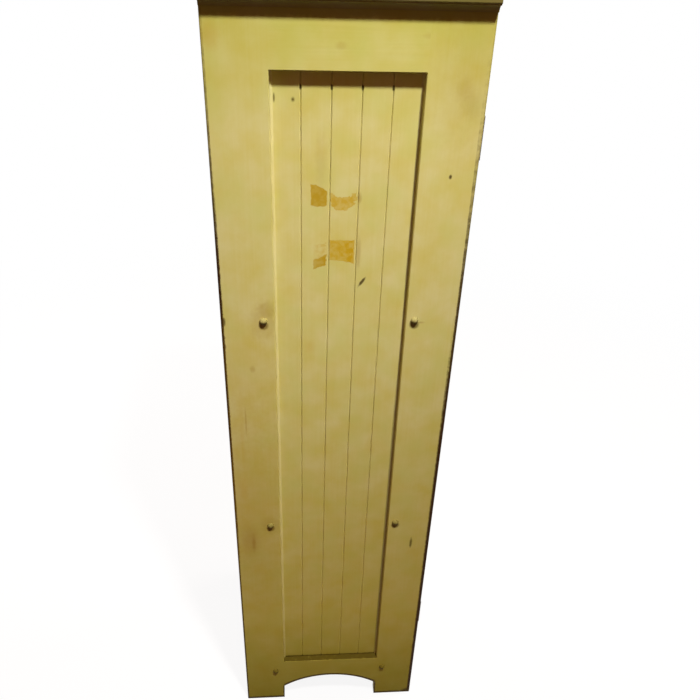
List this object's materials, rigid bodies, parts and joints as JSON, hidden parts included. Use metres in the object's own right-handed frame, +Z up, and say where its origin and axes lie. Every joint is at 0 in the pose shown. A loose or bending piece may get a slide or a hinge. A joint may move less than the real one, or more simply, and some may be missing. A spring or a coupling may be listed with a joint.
{
  "type": "bonnetiere cabinet",
  "caption": "Tall narrow painted cupboard with framed board-panelled sides, arched feet, an overhanging top and one hinged door with an inside turning bar.",
  "frame": {"origin": "on the floor under the middle of the cabinet's bounding box, door closed", "axes": "+Z up, the front with its door faces -Y, the pictured side faces -X"},
  "size_m": [0.491, 0.4934, 1.83],
  "materials": {
    "cream_paint": "aged semi-gloss paint",
    "bare_pine": "bare, aged",
    "hinge_iron": "dull, worn"
  },
  "bodies": {
    "carcase": {"left_front_stile": "cream_paint", "left_rear_stile": "cream_paint", "left_top_rail": "cream_paint", "left_bottom_rail": "cream_paint", "left_board_1": "cream_paint", "left_board_2": "cream_paint", "left_board_3": "cream_paint", "left_board_4": "cream_paint", "left_board_5": "cream_paint", "right_front_stile": "cream_paint", "right_rear_stile": "cream_paint", "right_top_rail": "cream_paint", "right_bottom_rail": "cream_paint", "right_board_1": "cream_paint", "right_board_2": "cream_paint", "right_board_3": "cream_paint", "right_board_4": "cream_paint", "right_board_5": "cream_paint", "bottom_shelf": "bare_pine", "lower_shelf": "bare_pine", "upper_shelf": "bare_pine", "back_board_1": "bare_pine", "back_board_2": "bare_pine", "back_board_3": "bare_pine", "back_board_4": "bare_pine", "top_board": "cream_paint", "left_cove_moulding": "cream_paint", "right_cove_moulding": "cream_paint", "left_top_cleat": "bare_pine", "right_top_cleat": "bare_pine", "front_header_rail": "cream_paint", "front_apron": "cream_paint", "upper_hinge_case_leaf": "hinge_iron", "upper_hinge_pin": "hinge_iron", "lower_hinge_case_leaf": "hinge_iron", "lower_hinge_pin": "hinge_iron", "latch_keeper": "bare_pine", "left_button_plugs": "cream_paint", "right_button_plugs": "cream_paint"},
    "door": {"door_hinge_stile": "cream_paint", "door_latch_stile": "cream_paint", "door_top_rail": "cream_paint", "door_bottom_rail": "cream_paint", "door_board_1": "cream_paint", "door_board_2": "cream_paint", "door_board_3": "cream_paint", "door_board_4": "cream_paint", "door_board_5": "cream_paint", "upper_hinge_door_leaf": "hinge_iron", "lower_hinge_door_leaf": "hinge_iron"},
    "latch": {"latch_knob": "cream_paint", "latch_spindle": "bare_pine", "latch_bar": "bare_pine"}
  },
  "joints": [
    {"name": "door_swing", "type": "hinge", "parent": "carcase", "child": "door", "pos_m": [-0.2025, -0.21405, 0.96], "axis": [0, 0, -1], "range_deg": [0, 170]},
    {"name": "latch_turn", "type": "hinge", "parent": "door", "child": "latch", "pos_m": [0.16375, -0.21025, 0.96], "axis": [0, -1, 0], "range_deg": [0, 90]}
  ]
}
